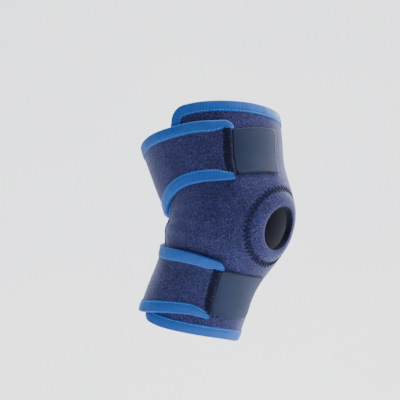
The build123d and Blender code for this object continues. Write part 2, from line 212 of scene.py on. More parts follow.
def smooth(x: np.ndarray) -> np.ndarray:
    """Returns: 0 below 0, 1 above 1, and a soft step between."""
    x = np.clip(x, 0, 1)
    return x * x * (3 - 2 * x)


@dataclass
class Pattern:
    """The cut pieces of the brace, as edge lines on the leg form."""

    seam_angle: float = 118.0
    hinge_angle: float = -157.0
    hole_angle: float = 3.5
    hole_height: float = -10.5
    hole_radius: float = 22.0
    ring_radius: float = 37.5
    fabric: float = 3.5
    strap_depth: float = 5.26
    tab_depth: float = 3.8
    top: Spline = field(default_factory=lambda: Spline([
        (-90, 102), (-68, 101), (-54, 98.8), (-36, 95), (-17, 91.3), (0, 88.6), (26, 87.5), (70, 88), (118,
                                                                                                       88),
        (160, 88), (203, 88)]))
    foot: Spline = field(default_factory=lambda: Spline([
        (-130, -119.5), (-107, -119.3), (-87, -118), (-60, -114.5), (-30, -111.3), (-6, -110.5), (28, -113.5),
        (70, -117), (118, -118), (160, -118), (203, -118)]))
    outer_side: Spline = field(default_factory=lambda: Spline([
        (-119, -122), (-100, -126), (-60, -142), (-38, -148), (0, -147), (26, -133), (60, -106), (88, -89),
        (101, -85)]))
    upper_top: Spline = field(default_factory=lambda: Spline([
        (-157, 88), (-135, 87.7), (-107, 86.3), (-88, 83.4), (-72, 81), (-58, 77.8), (-50, 75.8), (-38, 75)]))
    upper_foot: Spline = field(default_factory=lambda: Spline([
        (-157, 12), (-140, 13.5), (-118, 22), (-104, 26.5), (-90, 28), (-76, 26.6), (-61, 23.9), (-53, 22.9),
        (-38, 22.6)]))
    lower_top: Spline = field(default_factory=lambda: Spline([
        (-157, -49), (-138, -49), (-119, -47.2), (-89, -41.2), (-69, -39.4), (-53, -39.6), (-34, -40.5)]))
    lower_foot: Spline = field(default_factory=lambda: Spline([
        (-157, -118), (-127, -115), (-98, -106.5), (-76, -99), (-57, -94), (-46, -92.7), (-34, -92.5)]))
    upper_end: Spline = field(default_factory=lambda: Spline([(20, -46.0), (78, -39.5)]))
    lower_end: Spline = field(default_factory=lambda: Spline([(-96, -34.0), (-36, -44.5)]))

    def ramp(self, angle: np.ndarray) -> np.ndarray:
        """Args:
            angle: degrees round the leg, 0 at the front, negative to the outer side.

        Returns:
            Depth of a strap along its length, flush at the seam and raised over the panel.
        """
        around = np.where(np.asarray(angle) < 0, np.asarray(angle) + 360, angle)
        u = np.clip((around - self.seam_angle - 4) / 62, 0, 1)
        return self.strap_depth * (u - np.sin(2 * np.pi * u) / (2 * np.pi))


CUT = Pattern()


def spread(path: Sequence[Place], spacing: float, closed: bool = False) -> np.ndarray:
    """Args:
        path: places along the line, in order.
        spacing: distance between places, in millimetres.
        closed: whether the line closes on itself.

    Returns:
        The same line as rows of (angle, height), evenly spaced on the skin in millimetres.
    """
    rows = np.array(list(path) + ([path[0]] if closed else []), float)
    spots = LEG.points(rows[:, 0], rows[:, 1], 2.0)
    run = np.concatenate([[0.0], np.cumsum(np.linalg.norm(np.diff(spots, axis=0), axis=1))])
    count = max(3, int(round(run[-1] / spacing)))
    want = np.linspace(0, run[-1], count + 1)
    out = np.stack([np.interp(want, run, rows[:, k]) for k in (0, 1)], -1)
    return out[:-1] if closed else out


def rounded_corner(corner: Place, before: Place, after: Place, radius: float, n: int = 10) -> list[Place]:
    """Args:
        corner: the sharp corner's place.
        before: a place on the line that arrives at the corner.
        after: a place on the line that leaves it.
        radius: millimetres.
        n: how many places.

    Returns:
        Places round the corner, from the line of `before` to the line of `after`.
    """
    spot = LEG.points(*corner, 0)
    u, v = (LEG.points(*p, 0) - spot for p in (before, after))
    u, v = u / np.linalg.norm(u), v / np.linalg.norm(v)
    half = math.acos(float(u @ v)) / 2
    bisector = (u + v) / np.linalg.norm(u + v)
    centre = bisector * radius / math.sin(half)
    first, last = u * radius / math.tan(half) - centre, v * radius / math.tan(half) - centre
    whole = math.acos(float(first @ last) / radius ** 2)
    places = []
    for k in range(n + 1):
        t = k / n
        step = centre + (first * math.sin((1 - t) * whole) + last * math.sin(t * whole)) / math.sin(whole)
        a, h = LEG.shift(np.array(corner[0]), np.array(corner[1]), step)
        places.append((float(a), float(h)))
    return places


def trimmed(path: Sequence[Place], corner: Place, reach: float) -> list[Place]:
    """Returns: the places of a line further than `reach` millimetres from a corner."""
    spot = LEG.points(*corner, 0)
    return [p for p in path if np.linalg.norm(LEG.points(*p, 0) - spot) > reach]


def joined(lines: Sequence[Sequence[Place]], radii: Sequence[float]) -> tuple[list[list[Place]],
                                                                              list[list[Place]]]:
    """Rounds the corners between lines that follow one another round a piece.

    Args:
        lines: each ends where the next begins.
        radii: of the corner at the end of each line, in millimetres.

    Returns:
        The lines cut back to their corners, and the places round each line's end corner.
    """
    lines = [list(line) for line in lines]
    arcs = []
    for i, radius in enumerate(radii):
        line, following = lines[i], lines[(i + 1) % len(lines)]
        corner = line[-1]
        if radius:
            arc = rounded_corner(corner, line[-4], following[3], radius)
            reach = float(np.linalg.norm(LEG.points(*arc[0], 0) - LEG.points(*corner, 0))) + 0.5
            lines[i] = trimmed(line, corner, reach)
            lines[(i + 1) % len(lines)] = trimmed(following, corner, reach)
            arcs.append(arc)
        else:
            arcs.append([])
    return lines, arcs


def chained(lines: Sequence[Sequence[Place]], arcs: Sequence[Sequence[Place]]) -> list[Place]:
    """Returns: the whole outline, each line followed by its end corner."""
    return [place for line, arc in zip(lines, arcs) for place in [*line, *arc]]


def across(line: Callable[[np.ndarray], np.ndarray], start: float, stop: float, n: int = 90) -> list[Place]:
    """Returns: places along a cross line of the pattern from one angle to another."""
    angles = np.linspace(start, stop, n)
    return list(zip(angles.tolist(), np.asarray(line(angles)).tolist()))


def upright(line: Callable[[np.ndarray], np.ndarray], start: float, stop: float, n: int = 60) -> list[Place]:
    """Returns: places along a side line of the pattern from one height to another."""
    heights = np.linspace(start, stop, n)
    return list(zip(np.asarray(line(heights)).tolist(), heights.tolist()))


def constant(value: float) -> Callable[[np.ndarray], np.ndarray]:
    """Returns: a line that stays at one value."""
    return lambda place: np.full(np.shape(place), value)


def level(depth: float) -> Depth:
    """Returns: a face that keeps one depth all over."""
    return lambda angle, height: depth + 0 * angle


def meeting(side: Spline, line: Spline, guess: float) -> float:
    """Args:
        side: a side line of the pattern.
        line: a cross line of the pattern.
        guess: a height near the crossing.

    Returns:
        The height at which a side line crosses a cross line.
    """
    height = guess
    for _ in range(12):
        height = float(line(side(np.array(height))))
    return height


def knee_share(angle: np.ndarray, height: np.ndarray) -> np.ndarray:
    """Args:
        angle: not used.
        height: millimetres along the centre line.

    Returns:
        How far a place on the panel follows the shank when the knee bends, 0 to 1.
    """
    u = np.clip((np.asarray(height) + 44.0) / 68.0, 0, 1)
    eased = smooth(u) * 0.25 + u * 0.75
    return 1 - eased


def hinge_share(angle: np.ndarray, height: np.ndarray) -> np.ndarray:
    """Returns: how far a place on a strap follows its free part when it is opened, 0 to 1."""
    around = np.where(np.asarray(angle) > 0, np.asarray(angle) - 360, angle)
    return smooth((around - CUT.hinge_angle + 9) / 18)


class Side(Enum):
    """Which material slot of a laminate a face belongs to."""

    FACE = 0
    EDGE = 1
    LINING = 2


def inside(points: np.ndarray, loop: np.ndarray) -> np.ndarray:
    """Args:
        points: rows of x, y laid flat in millimetres.
        loop: places of a closed outline, laid flat in millimetres.

    Returns:
        Whether each flat point lies in a closed loop.
    """
    x, y = points[:, 0:1], points[:, 1:2]
    x0, y0 = loop[:, 0], loop[:, 1]
    x1, y1 = np.roll(x0, -1), np.roll(y0, -1)
    spans = (y0 > y) != (y1 > y)
    with np.errstate(divide="ignore", invalid="ignore"):
        cross = x < (x1 - x0) * (y - y0) / (y1 - y0) + x0
    return (spans & cross).sum(1) % 2 == 1


@dataclass
class Laminate:
    """A sheet of foam laminate cut to an outline and wrapped on the leg form.

    Args:
        outer: depth of its outer face; inner: depth of its skin side.
        spacing: size of its mesh in millimetres; round_edge: how far its cut edge swells out.
    """

    outline: list[Place]
    outer: Depth
    inner: Depth
    holes: list[list[Place]] = field(default_factory=list)
    spacing: float = 2.2
    round_edge: float = 0.5
    stretch: float = STRETCH

    def flat(self, rows: np.ndarray) -> np.ndarray:
        """Returns: places laid out flat in millimetres."""
        return rows * np.array([self.stretch, 1.0])

    def build(self, name: str) -> bpy.types.Object:
        """Args:
            name: name of the new piece.

        Returns:
            The closed mesh, its outer, cut edge and lining faces in three material slots.
        """
        loops = [self.flat(spread(line, self.spacing, True)) for line in [self.outline, *self.holes]]
        verts, tris = self._fill(loops)
        counts = [len(loop) for loop in loops]
        angle, height = verts[:, 0] / self.stretch, verts[:, 1]
        outer, inner = self.outer(angle, height), self.inner(angle, height)
        top = LEG.points(angle, height, outer)
        bottom = LEG.points(angle, height, inner)
        n = len(verts)
        points, faces, slots = [top, bottom], [tuple(t) for t in tris], [Side.FACE.value] * len(tris)
        faces += [tuple(n + i for i in reversed(t)) for t in tris]
        slots += [Side.LINING.value] * len(tris)
        start, made = 0, 2 * n
        for loop, count in zip(loops, counts):
            turned = (signed_area(loop) < 0) != (start > 0)
            ring = self._edge(loop, outer[start:start + count], inner[start:start + count], turned)
            points.append(ring.reshape(-1, 3))
            rows = [[start + i for i in range(count)]]
            rows += [[made + k * count + i for i in range(count)] for k in range(len(ring))]
            rows += [[n + start + i for i in range(count)]]
            for a, b in zip(rows, rows[1:]):
                for i in range(count):
                    j = (i + 1) % count
                    face = (a[i], b[i], b[j], a[j])
                    faces.append(face[::-1] if turned else face)
                    slots.append(Side.EDGE.value)
            made += ring.shape[0] * count
            start += count
        places = np.concatenate([np.stack([angle, height], -1)] * 2)
        return make_mesh(name, np.concatenate(points), faces, slots, places)

    def _edge(self, loop: np.ndarray, outer: np.ndarray, inner: np.ndarray, turned: bool) -> np.ndarray:
        """Args:
            loop: places of a closed outline, laid flat in millimetres.
            outer: depth of the outer face along the loop.
            inner: depth of the skin side along the loop.
            turned: whether the loop runs the other way round.

        Returns:
            Three rows of points between the two faces, swelling gently outwards.
        """
        along = np.roll(loop, -1, 0) - np.roll(loop, 1, 0)
        out = np.stack([along[:, 1], -along[:, 0]], -1) / np.linalg.norm(along, axis=1, keepdims=True)
        if turned:
            out = -out
        rows = []
        for share in (0.22, 0.5, 0.78):
            moved = loop + out * self.round_edge * math.sin(math.pi * share)
            depth = outer + (inner - outer) * share
            rows.append(LEG.points(moved[:, 0] / self.stretch, moved[:, 1], depth))
        return np.stack(rows)

    def _fill(self, loops: list[np.ndarray]) -> tuple[np.ndarray, np.ndarray]:
        """Args:
            loops: the outline and then its holes, laid flat.

        Returns:
            The points and triangles that fill the outline but not its holes.
        """
        edge = np.concatenate(loops)
        low, high = edge.min(0), edge.max(0)
        tree = KDTree(len(edge))
        for i, p in enumerate(edge):
            tree.insert((p[0], p[1], 0), i)
        tree.balance()
        rows = np.arange(low[1], high[1], self.spacing * 0.866)
        grid = []
        for k, y in enumerate(rows):
            xs = np.arange(low[0] + (k % 2) * self.spacing / 2, high[0], self.spacing)
            grid.append(np.stack([xs, np.full(len(xs), y)], -1))
        grid = np.concatenate(grid)
        keep = inside(grid, loops[0])
        for loop in loops[1:]:
            keep &= ~inside(grid, loop)
        grid = grid[keep]
        far = [tree.find((p[0], p[1], 0))[2] > self.spacing * 0.62 for p in grid]
        points = np.concatenate([edge, grid[np.array(far)]])
        edges, start = [], 0
        for loop in loops:
            edges += [(start + i, start + (i + 1) % len(loop)) for i in range(len(loop))]
            start += len(loop)
        result = delaunay_2d_cdt([Vector(p) for p in points.tolist()], edges, [], 0, 1e-5)
        verts = np.array([v[:] for v in result[0]])
        tris = np.array([f for f in result[2] if len(f) == 3])
        middle = verts[tris].mean(1)
        keep = inside(middle, loops[0])
        for loop in loops[1:]:
            keep &= ~inside(middle, loop)
        tris = tris[keep]
        p = verts[tris]
        area = np.cross(p[:, 1] - p[:, 0], p[:, 2] - p[:, 0])
        tris[area < 0] = tris[area < 0][:, ::-1]
        return verts, tris


def signed_area(loop: np.ndarray) -> float:
    """Returns: twice the area of a flat loop, positive when it runs anticlockwise."""
    x, y = loop[:, 0], loop[:, 1]
    return float((x * np.roll(y, -1) - np.roll(x, -1) * y).sum())


def make_mesh(name: str, points: np.ndarray, faces: list, slots: Sequence[int],
              places: np.ndarray | None = None) -> bpy.types.Object:
    """Args:
        name: name of the new piece.
        points: rows of x, y, z in millimetres.
        faces: vertex numbers of each face.
        slots: material slot of each face.
        places: (angle, height) of the first points, kept as a UV map in metres.

    Returns:
        A smooth-shaded object linked to the scene.
    """
    mesh = bpy.data.meshes.new(name)
    mesh.from_pydata((points * MM).tolist(), [], faces)
    mesh.polygons.foreach_set("material_index", np.array(slots, np.int32))
    mesh.polygons.foreach_set("use_smooth", np.ones(len(faces), bool))
    if places is not None:
        layer = mesh.uv_layers.new(name="cut")
        flat = np.zeros((len(points), 2))
        flat[:len(places)] = places * np.array([STRETCH, 1.0]) * MM
        index = np.zeros(len(mesh.loops), np.int32)
        mesh.loops.foreach_get("vertex_index", index)
        layer.data.foreach_set("uv", flat[index].astype(np.float32).ravel())
    mesh.update()
    piece = bpy.data.objects.new(name, mesh)
    bpy.context.collection.objects.link(piece)
    return piece


@dataclass
class Tape:
    """Folded edge binding: a soft band over a cut edge, drawn in on its stitch line.

    Args:
        path: the cut edge; side: +1 when the fabric lies to the left of the path.
        depth: depth of the fabric's skin side; width: visible width at each fraction of the path.
    """

    path: list[Place]
    side: int
    depth: Callable[[np.ndarray], np.ndarray]
    width: Callable[[np.ndarray], np.ndarray] = constant(BINDING_WIDTH)
    fabric: float = 3.5
    ply: float = 0.85
    spacing: float = 2.0

    def rows(self) -> tuple[np.ndarray, np.ndarray, np.ndarray, np.ndarray]:
        """Returns: the path's places, the inward step, the width and the run in millimetres at each."""
        path = spread(self.path, self.spacing)
        spots = LEG.points(path[:, 0], path[:, 1], 0)
        run = np.gradient(spots, axis=0)
        run /= np.linalg.norm(run, axis=1, keepdims=True)
        out = LEG.frame_at(path[:, 0], path[:, 1])[2]
        step = np.cross(out, run) * self.side
        width = self.width(np.linspace(0, 1, len(path)))
        return path, step, width, np.arange(len(path)) * self.spacing

    def build(self, name: str) -> bpy.types.Object:
        """Args:
            name: name of the new piece.

        Returns:
            The closed band with a UV map of run and width.
        """
        path, step, width, run = self.rows()
        half = self.fabric / 2 + 0.1
        section, vs = [], []
        wave = 0.12 * np.sin(run / 3.1) + 0.1 * np.sin(run / 1.7 + 1.3)
        for share in np.linspace(1, 0, 12):
            bulge = self._swell(share) + wave * (0.25 + 0.75 * (share < 0.8))
            section.append((width * share, half + bulge))
            vs.append(width * share)
        for turn in np.linspace(0, math.pi, 9)[1:-1]:
            reach = half + self.ply * 1.05
            section.append((-reach * math.sin(turn) * 0.95 + 0 * width, reach * math.cos(turn) + 0 * width))
            vs.append(-3.0 * turn / math.pi + 0 * width)
        for share in np.linspace(0, 1, 7):
            section.append((width * share, -(half + self.ply * (0.85 if share < 0.9 else 0.35)) + 0 * width))
            vs.append(-3.5 - width * share)
        for share in (1.0, 0.5, 0.0):
            section.append((width * share, -half + 0.02 + 0 * width))
            vs.append(-3.5 - width * share)
        for share in (0.0, 0.5, 1.0):
            section.append((width * share, half - 0.02 + 0 * width))
            vs.append(width * share)
        count, n = len(section), len(path)
        points = np.zeros((n, count, 3))
        base = self.depth(path[:, 0]) + self.fabric / 2
        for k, (w, level) in enumerate(section):
            a, h = LEG.shift(path[:, 0], path[:, 1], step * np.asarray(w)[:, None])
            points[:, k] = LEG.points(a, h, base + level)
        faces = []
        for i in range(n - 1):
            for k in range(count):
                m = (k + 1) % count
                faces.append((i * count + k, i * count + m, (i + 1) * count + m, (i + 1) * count + k))
        if self.side < 0:
            faces = [f[::-1] for f in faces]
        faces += [tuple(range(count))[::self.side], tuple(range((n - 1) * count, n * count))[::-self.side]]
        uv = np.stack([np.repeat(run, count) / STRETCH, np.stack(vs, 1).ravel()], -1)
        return make_mesh(name, points.reshape(-1, 3), faces, [0] * len(faces), uv)

    def _swell(self, share: float) -> float:
        """Args:
            share: share of the band's width.

        Returns:
            Height of the outer ply above the fabric across the band, pinched at the stitching.
        """
        pinch = 0.42 * math.exp(-((share - SEWN_AT) / 0.055) ** 2)
        crown = self.ply * (0.75 + 0.42 * math.sin(math.pi * min(share / SEWN_AT, 1)))
        return (crown if share < 0.97 else self.ply * 0.4) - pinch

    def stitches(self, length: float = 1.7, pitch: float = 3.0) -> list[np.ndarray]:
        """Args:
            length: of one stitch, in millimetres.
            pitch: from one stitch to the next, in millimetres.

        Returns:
            Short threads along the band's inner edge, each a row of x, y, z.
        """
        path, step, width, run = self.rows()
        base = self.depth(path[:, 0]) + self.fabric + 0.1
        a, h = LEG.shift(path[:, 0], path[:, 1], step * (width * SEWN_AT)[:, None])
        line = LEG.points(a, h, base)
        out = LEG.frame_at(a, h)[2]
        runs = np.concatenate([[0.0], np.cumsum(np.linalg.norm(np.diff(line, axis=0), axis=1))])
        threads = []
        for start in np.arange(1.5, runs[-1] - length - 1, pitch):
            want = start + length * np.array([0, 0.25, 0.5, 0.75, 1])
            lift = np.array([0.12, 0.62, 0.75, 0.62, 0.12])
            spots = np.stack([np.interp(want, runs, line[:, k]) for k in range(3)], -1)
            away = np.stack([np.interp(want, runs, out[:, k]) for k in range(3)], -1)
            threads.append(spots + away * lift[:, None])
        return threads


def tubes(name: str, threads: Sequence[np.ndarray], radius: float, sides: int = 6) -> bpy.types.Object:
    """Args:
        name: name of the new piece.
        threads: each a row of points in millimetres.
        radius: of the thread, in millimetres.
        sides: of a thread's section.

    Returns:
        One mesh of round threads with closed ends.
    """
    points, faces, made = [], [], 0
    turns = np.linspace(0, 2 * np.pi, sides, endpoint=False)
    for line in threads:
        run = np.gradient(line, axis=0)
        run /= np.linalg.norm(run, axis=1, keepdims=True) + 1e-9
        aid = np.tile(np.array([0.3, 0.2, 0.93]), (len(line), 1))
        u = np.cross(run, aid)
        u /= np.linalg.norm(u, axis=1, keepdims=True)
        v = np.cross(run, u)
        ring = line[:, None] + radius * (np.cos(turns)[None, :, None] * u[:, None]
                                         + np.sin(turns)[None, :, None] * v[:, None])
        points.append(ring.reshape(-1, 3))
        for i in range(len(line) - 1):
            for k in range(sides):
                m = (k + 1) % sides
                a, b = made + i * sides, made + (i + 1) * sides
                faces.append((a + k, b + k, b + m, a + m))
        faces.append(tuple(made + k for k in range(sides)))
        faces.append(tuple(made + (len(line) - 1) * sides + k for k in reversed(range(sides))))
        made += len(line) * sides
    return make_mesh(name, np.concatenate(points), faces, [0] * len(faces))


def zigzag(centre_line: np.ndarray, reach: np.ndarray, depth: Depth, wobble: float,
           seed: int) -> list[np.ndarray]:
    """Zigzag machine stitch laid along a line.

    Args:
        centre_line: rows of (angle, height) for every needle hole, alternately left and right.
        reach: inward step of each hole in space, millimetres.
        depth: depth of the surface sewn.
        wobble: millimetres of unevenness.
        seed: of the unevenness.

    Returns:
        One thread for each bar of the zigzag.
    """
    rng = np.random.default_rng(seed)
    noise = rng.normal(0, wobble, (len(centre_line), 3))
    a, h = LEG.shift(centre_line[:, 0], centre_line[:, 1], reach + noise)
    threads = []
    for i in range(len(a) - 1):
        t = np.array([0, 0.12, 0.35, 0.65, 0.88, 1])
        lift = np.array([-0.25, 0.3, 0.5, 0.5, 0.3, -0.25])
        aa, hh = a[i] + (a[i + 1] - a[i]) * t, h[i] + (h[i + 1] - h[i]) * t
        threads.append(LEG.points(aa, hh, depth(aa, hh) + lift))
    return threads


def linear(hex_colour: str, alpha: float = 1.0) -> tuple[float, float, float, float]:
    """Args:
        hex_colour: such as #17243f.
        alpha: opacity.

    Returns:
        The linear colour of an sRGB hex colour.
    """
    parts = [int(hex_colour[i:i + 2], 16) / 255 for i in (1, 3, 5)]
    r, g, b = [p / 12.92 if p <= 0.04045 else ((p + 0.055) / 1.055) ** 2.4 for p in parts]
    return r, g, b, alpha


class Graph:
    """A material under construction."""

    def __init__(self, name: str) -> None:
        """Starts an empty material.

        Args:
            name: the material's name.
        """
        self.material = bpy.data.materials.new(name)
        self.material.use_nodes = True
        self.tree = self.material.node_tree
        self.tree.nodes.clear()

    def add(self, kind: str, inputs: dict | None = None, **settings: object) -> bpy.types.Node:
        """Args:
            kind: node type.
            inputs: socket name or index to a value or to another node's output.
            settings: properties of the node.

        Returns:
            The new node.
        """
        node = self.tree.nodes.new(kind)
        for key, value in settings.items():
            setattr(node, key, value)
        for key, value in (inputs or {}).items():
            if isinstance(value, bpy.types.NodeSocket):
                self.tree.links.new(value, node.inputs[key])
            else:
                node.inputs[key].default_value = value
        return node

    def ramp(self, factor: bpy.types.NodeSocket, stops: Sequence[tuple[float, str]]) -> bpy.types.NodeSocket:
        """Args:
            factor: socket that drives the ramp.
            stops: (position, sRGB hex colour) pairs.

        Returns:
            The colour output of a ramp through sRGB stops.
        """
        node = self.add("ShaderNodeValToRGB", {"Fac": factor})
        elements = node.color_ramp.elements
        while len(elements) < len(stops):
            elements.new(0.5)
        for element, (place, colour) in zip(elements, stops):
            element.position = place
            element.color = linear(colour)
        return node.outputs["Color"]

    def finish(self, surface: bpy.types.Node) -> bpy.types.Material:
        """Returns: the material, with this shader on its surface."""
        self.add("ShaderNodeOutputMaterial", {"Surface": surface.outputs[0]})
        return self.material


@dataclass(frozen=True)
class LoopKnit:
    """Brushed loop knit face of the laminate: heathered yarns, a fuzzy halo where it turns to the light."""

    name: str = "heathered_loop_knit"
    shade: str = "#12122f"
    yarn: str = "#23254f"
    light: str = "#3a3d6c"
    fleck: str = "#7f82a8"
    fleck_mm: float = 0.85
    loops_per_metre: float = 1100.0  # loops 0.9 mm apart
    wear_per_metre: float = 42.0  # rubbed patches about 24 mm across

    def build(self) -> bpy.types.Material:
        """Returns: the material."""
        g = Graph(self.name)
        place = g.add("ShaderNodeTexCoord").outputs["Object"]
        stretched = g.add("ShaderNodeMapping", {"Vector": place, "Scale": (1.0, 1.0, 0.7)})
        yarns = g.add("ShaderNodeTexNoise", {"Vector": stretched.outputs[0], "Scale": 620 / self.fleck_mm,
                                             "Detail": 4.0, "Roughness": 0.7})
        flecks = g.add("ShaderNodeTexNoise", {"Vector": place, "Scale": 1150 / self.fleck_mm, "Detail": 1.5})
        cloud = g.add("ShaderNodeTexNoise", {"Vector": place, "Scale": self.wear_per_metre, "Detail": 3.0})
        loops = g.add("ShaderNodeTexVoronoi", {"Vector": place, "Scale": self.loops_per_metre})
        base = g.ramp(yarns.outputs["Fac"], [(0.33, self.shade), (0.50, self.yarn), (0.66, self.light)])
        spots = g.add("ShaderNodeMapRange", {"Value": flecks.outputs["Fac"], "From Min": 0.58,
                                             "From Max": 0.78, "To Max": 0.6})
        colour = g.add("ShaderNodeMix", {0: spots.outputs[0], 6: base, 7: linear(self.fleck)},
                       data_type="RGBA")
        worn = g.add("ShaderNodeMapRange", {"Value": cloud.outputs["Fac"], "From Min": 0.3, "From Max": 0.7,
                                            "To Min": 0.82, "To Max": 1.14})
        tone = g.add("ShaderNodeHueSaturation", {"Color": colour.outputs[2], "Value": worn.outputs[0]})
        bump = g.add("ShaderNodeBump", {"Height": loops.outputs["Distance"], "Strength": 0.35,
                                        "Distance": 0.0004})
        bump2 = g.add("ShaderNodeBump", {"Height": yarns.outputs["Fac"], "Strength": 0.6, "Distance": 0.0006,
                                         "Normal": bump.outputs[0]})
        rough = g.add("ShaderNodeMapRange", {"Value": yarns.outputs["Fac"], "To Min": 0.82, "To Max": 0.98})
        shader = g.add("ShaderNodeBsdfPrincipled", {
            "Base Color": tone.outputs[0], "Roughness": rough.outputs[0], "Normal": bump2.outputs[0],
            "Sheen Weight": 0.5, "Sheen Roughness": 0.4, "Sheen Tint": linear("#b9bde0"),
            "Specular IOR Level": 0.12})
        return g.finish(shader)


@dataclass(frozen=True)
class BindingKnit:
    """Elastic folded binding: fine cross ribs and a soft satin crown that catches the light."""

    name: str = "azure_binding_knit"
    colour: str = "#0451a4"
    shade: str = "#033f88"
    rib_mm: float = 1.4  # twice the real rib, so that the ribs show
    mottle_per_metre: float = 120.0  # uneven dye in patches about 8 mm across

    def build(self) -> bpy.types.Material:
        """Returns: the material."""
        g = Graph(self.name)
        cut = g.add("ShaderNodeUVMap", uv_map="cut")
        place = g.add("ShaderNodeTexCoord").outputs["Object"]
        ribs = g.add("ShaderNodeTexWave", {"Vector": cut.outputs[0], "Scale": WAVE_MM / self.rib_mm,
                                           "Distortion": 1.2, "Detail": 1.0}, bands_direction="X")
        cloud = g.add("ShaderNodeTexNoise", {"Vector": place, "Scale": self.mottle_per_metre, "Detail": 4.0})
        mixed = g.add("ShaderNodeMath", {0: ribs.outputs["Fac"], 1: cloud.outputs["Fac"]},
                      operation="MULTIPLY")
        colour = g.ramp(mixed.outputs[0], [(0.05, self.shade), (0.45, self.colour), (0.9, "#0a68c4")])
        bump = g.add("ShaderNodeBump", {"Height": ribs.outputs["Fac"], "Strength": 0.14, "Distance": 0.0003})
        bump2 = g.add("ShaderNodeBump", {"Height": cloud.outputs["Fac"], "Strength": 0.25, "Distance": 0.0008,
                                         "Normal": bump.outputs[0]})
        rough = g.add("ShaderNodeMapRange", {"Value": cloud.outputs["Fac"], "To Min": 0.5, "To Max": 0.75})
        shader = g.add("ShaderNodeBsdfPrincipled", {
            "Base Color": colour, "Roughness": rough.outputs[0], "Normal": bump2.outputs[0],
            "Sheen Weight": 0.08, "Sheen Roughness": 0.4, "Sheen Tint": linear("#6fb8ff"),
            "Specular IOR Level": 0.3})
        return g.finish(shader)


@dataclass(frozen=True)
class SewingThread:
    """Twisted polyester sewing thread with a slight lustre along its plies."""

    name: str
    colour: str
    light: str
    plies_per_metre: float = 2600.0  # a ply of the twist every 0.4 mm

    def build(self) -> bpy.types.Material:
        """Returns: the material."""
        g = Graph(self.name)
        place = g.add("ShaderNodeTexCoord").outputs["Object"]
        twist = g.add("ShaderNodeTexNoise", {"Vector": place, "Scale": self.plies_per_metre, "Detail": 1.0})
        colour = g.ramp(twist.outputs["Fac"], [(0.35, self.colour), (0.7, self.light)])
        bump = g.add("ShaderNodeBump", {"Height": twist.outputs["Fac"], "Strength": 0.4, "Distance": 0.0002})
        rough = g.add("ShaderNodeMapRange", {"Value": twist.outputs["Fac"], "To Min": 0.4, "To Max": 0.65})
        shader = g.add("ShaderNodeBsdfPrincipled", {
            "Base Color": colour, "Normal": bump.outputs[0], "Roughness": rough.outputs[0],
            "Specular IOR Level": 0.15})
        return g.finish(shader)


@dataclass(frozen=True)
class MouldedTab:
    """Moulded hook tab back: smooth matt slate polymer with a fine woven-belt grain, and painted shade
    darkening it along its edges.
    """

    name: str = "moulded_tab"
    colour: str = "#17243f"
    light: str = "#1f2e4c"
    grain_scale: float = 340.0  # a rib of the grain every 0.9 mm
    cloud_per_metre: float = 60.0  # soft patches about 17 mm across

    def build(self) -> bpy.types.Material:
        """Returns: the material."""
        g = Graph(self.name)
        cut = g.add("ShaderNodeUVMap", uv_map="cut")
        place = g.add("ShaderNodeTexCoord").outputs["Object"]
        rows = g.add("ShaderNodeTexWave", {"Vector": cut.outputs[0], "Scale": self.grain_scale,
                                           "Distortion": 0.3},
                     bands_direction="Y")
        cols = g.add("ShaderNodeTexWave", {"Vector": cut.outputs[0], "Scale": self.grain_scale,
                                           "Distortion": 0.3},
                     bands_direction="X")
        grain = g.add("ShaderNodeMath", {0: rows.outputs["Fac"], 1: cols.outputs["Fac"]},
                      operation="MULTIPLY")
        cloud = g.add("ShaderNodeTexNoise", {"Vector": place, "Scale": self.cloud_per_metre, "Detail": 5.0})
        colour = g.ramp(cloud.outputs["Fac"], [(0.3, self.colour), (0.75, self.light)])
        fine = g.add("ShaderNodeMapRange", {"Value": grain.outputs[0], "To Min": 0.92, "To Max": 1.06})
        # painted shade: the colour darkens to 0.62 of itself at the tab's outline, fading out 2.6 mm in
        rim = g.add("ShaderNodeAttribute", attribute_name="rim")
        border = g.add("ShaderNodeMapRange", {"Value": rim.outputs["Fac"], "From Min": 0.4, "From Max": 2.6,
                                              "To Min": 0.62, "To Max": 1.0})
        shade = g.add("ShaderNodeMath", {0: fine.outputs[0], 1: border.outputs[0]}, operation="MULTIPLY")
        tone = g.add("ShaderNodeHueSaturation", {"Color": colour, "Value": shade.outputs[0]})
        bump = g.add("ShaderNodeBump", {"Height": grain.outputs[0], "Strength": 0.12, "Distance": 0.0002})
        rough = g.add("ShaderNodeMapRange", {"Value": cloud.outputs["Fac"], "To Min": 0.55, "To Max": 0.72})
        shader = g.add("ShaderNodeBsdfPrincipled", {"Base Color": tone.outputs[0], "Normal": bump.outputs[0],
                                                    "Roughness": rough.outputs[0], "Specular IOR Level": 0.2,
                                                    "Sheen Weight": 0.04})
        return g.finish(shader)


@dataclass(frozen=True)
class HookField:
    """Rows of tiny moulded hooks on the underside of a tab."""

    name: str = "hook_field"
    colour: str = "#1b2236"
    hooks_per_metre: float = 900.0  # hooks 1.1 mm apart

    def build(self) -> bpy.types.Material:
        """Returns: the material."""
        g = Graph(self.name)
        place = g.add("ShaderNodeTexCoord").outputs["Object"]
        hooks = g.add("ShaderNodeTexVoronoi", {"Vector": place, "Scale": self.hooks_per_metre,
                                               "Randomness": 0.35})
        colour = g.ramp(hooks.outputs["Distance"], [(0.1, "#3c465f"), (0.6, self.colour)])
        bump = g.add("ShaderNodeBump", {"Height": hooks.outputs["Distance"], "Strength": 0.9,
                                        "Distance": 0.0006},
                     invert=True)
        rough = g.add("ShaderNodeMapRange", {"Value": hooks.outputs["Distance"], "To Min": 0.35,
                                             "To Max": 0.7})
        shader = g.add("ShaderNodeBsdfPrincipled", {"Base Color": colour, "Normal": bump.outputs[0],
                                                    "Roughness": rough.outputs[0]})
        return g.finish(shader)


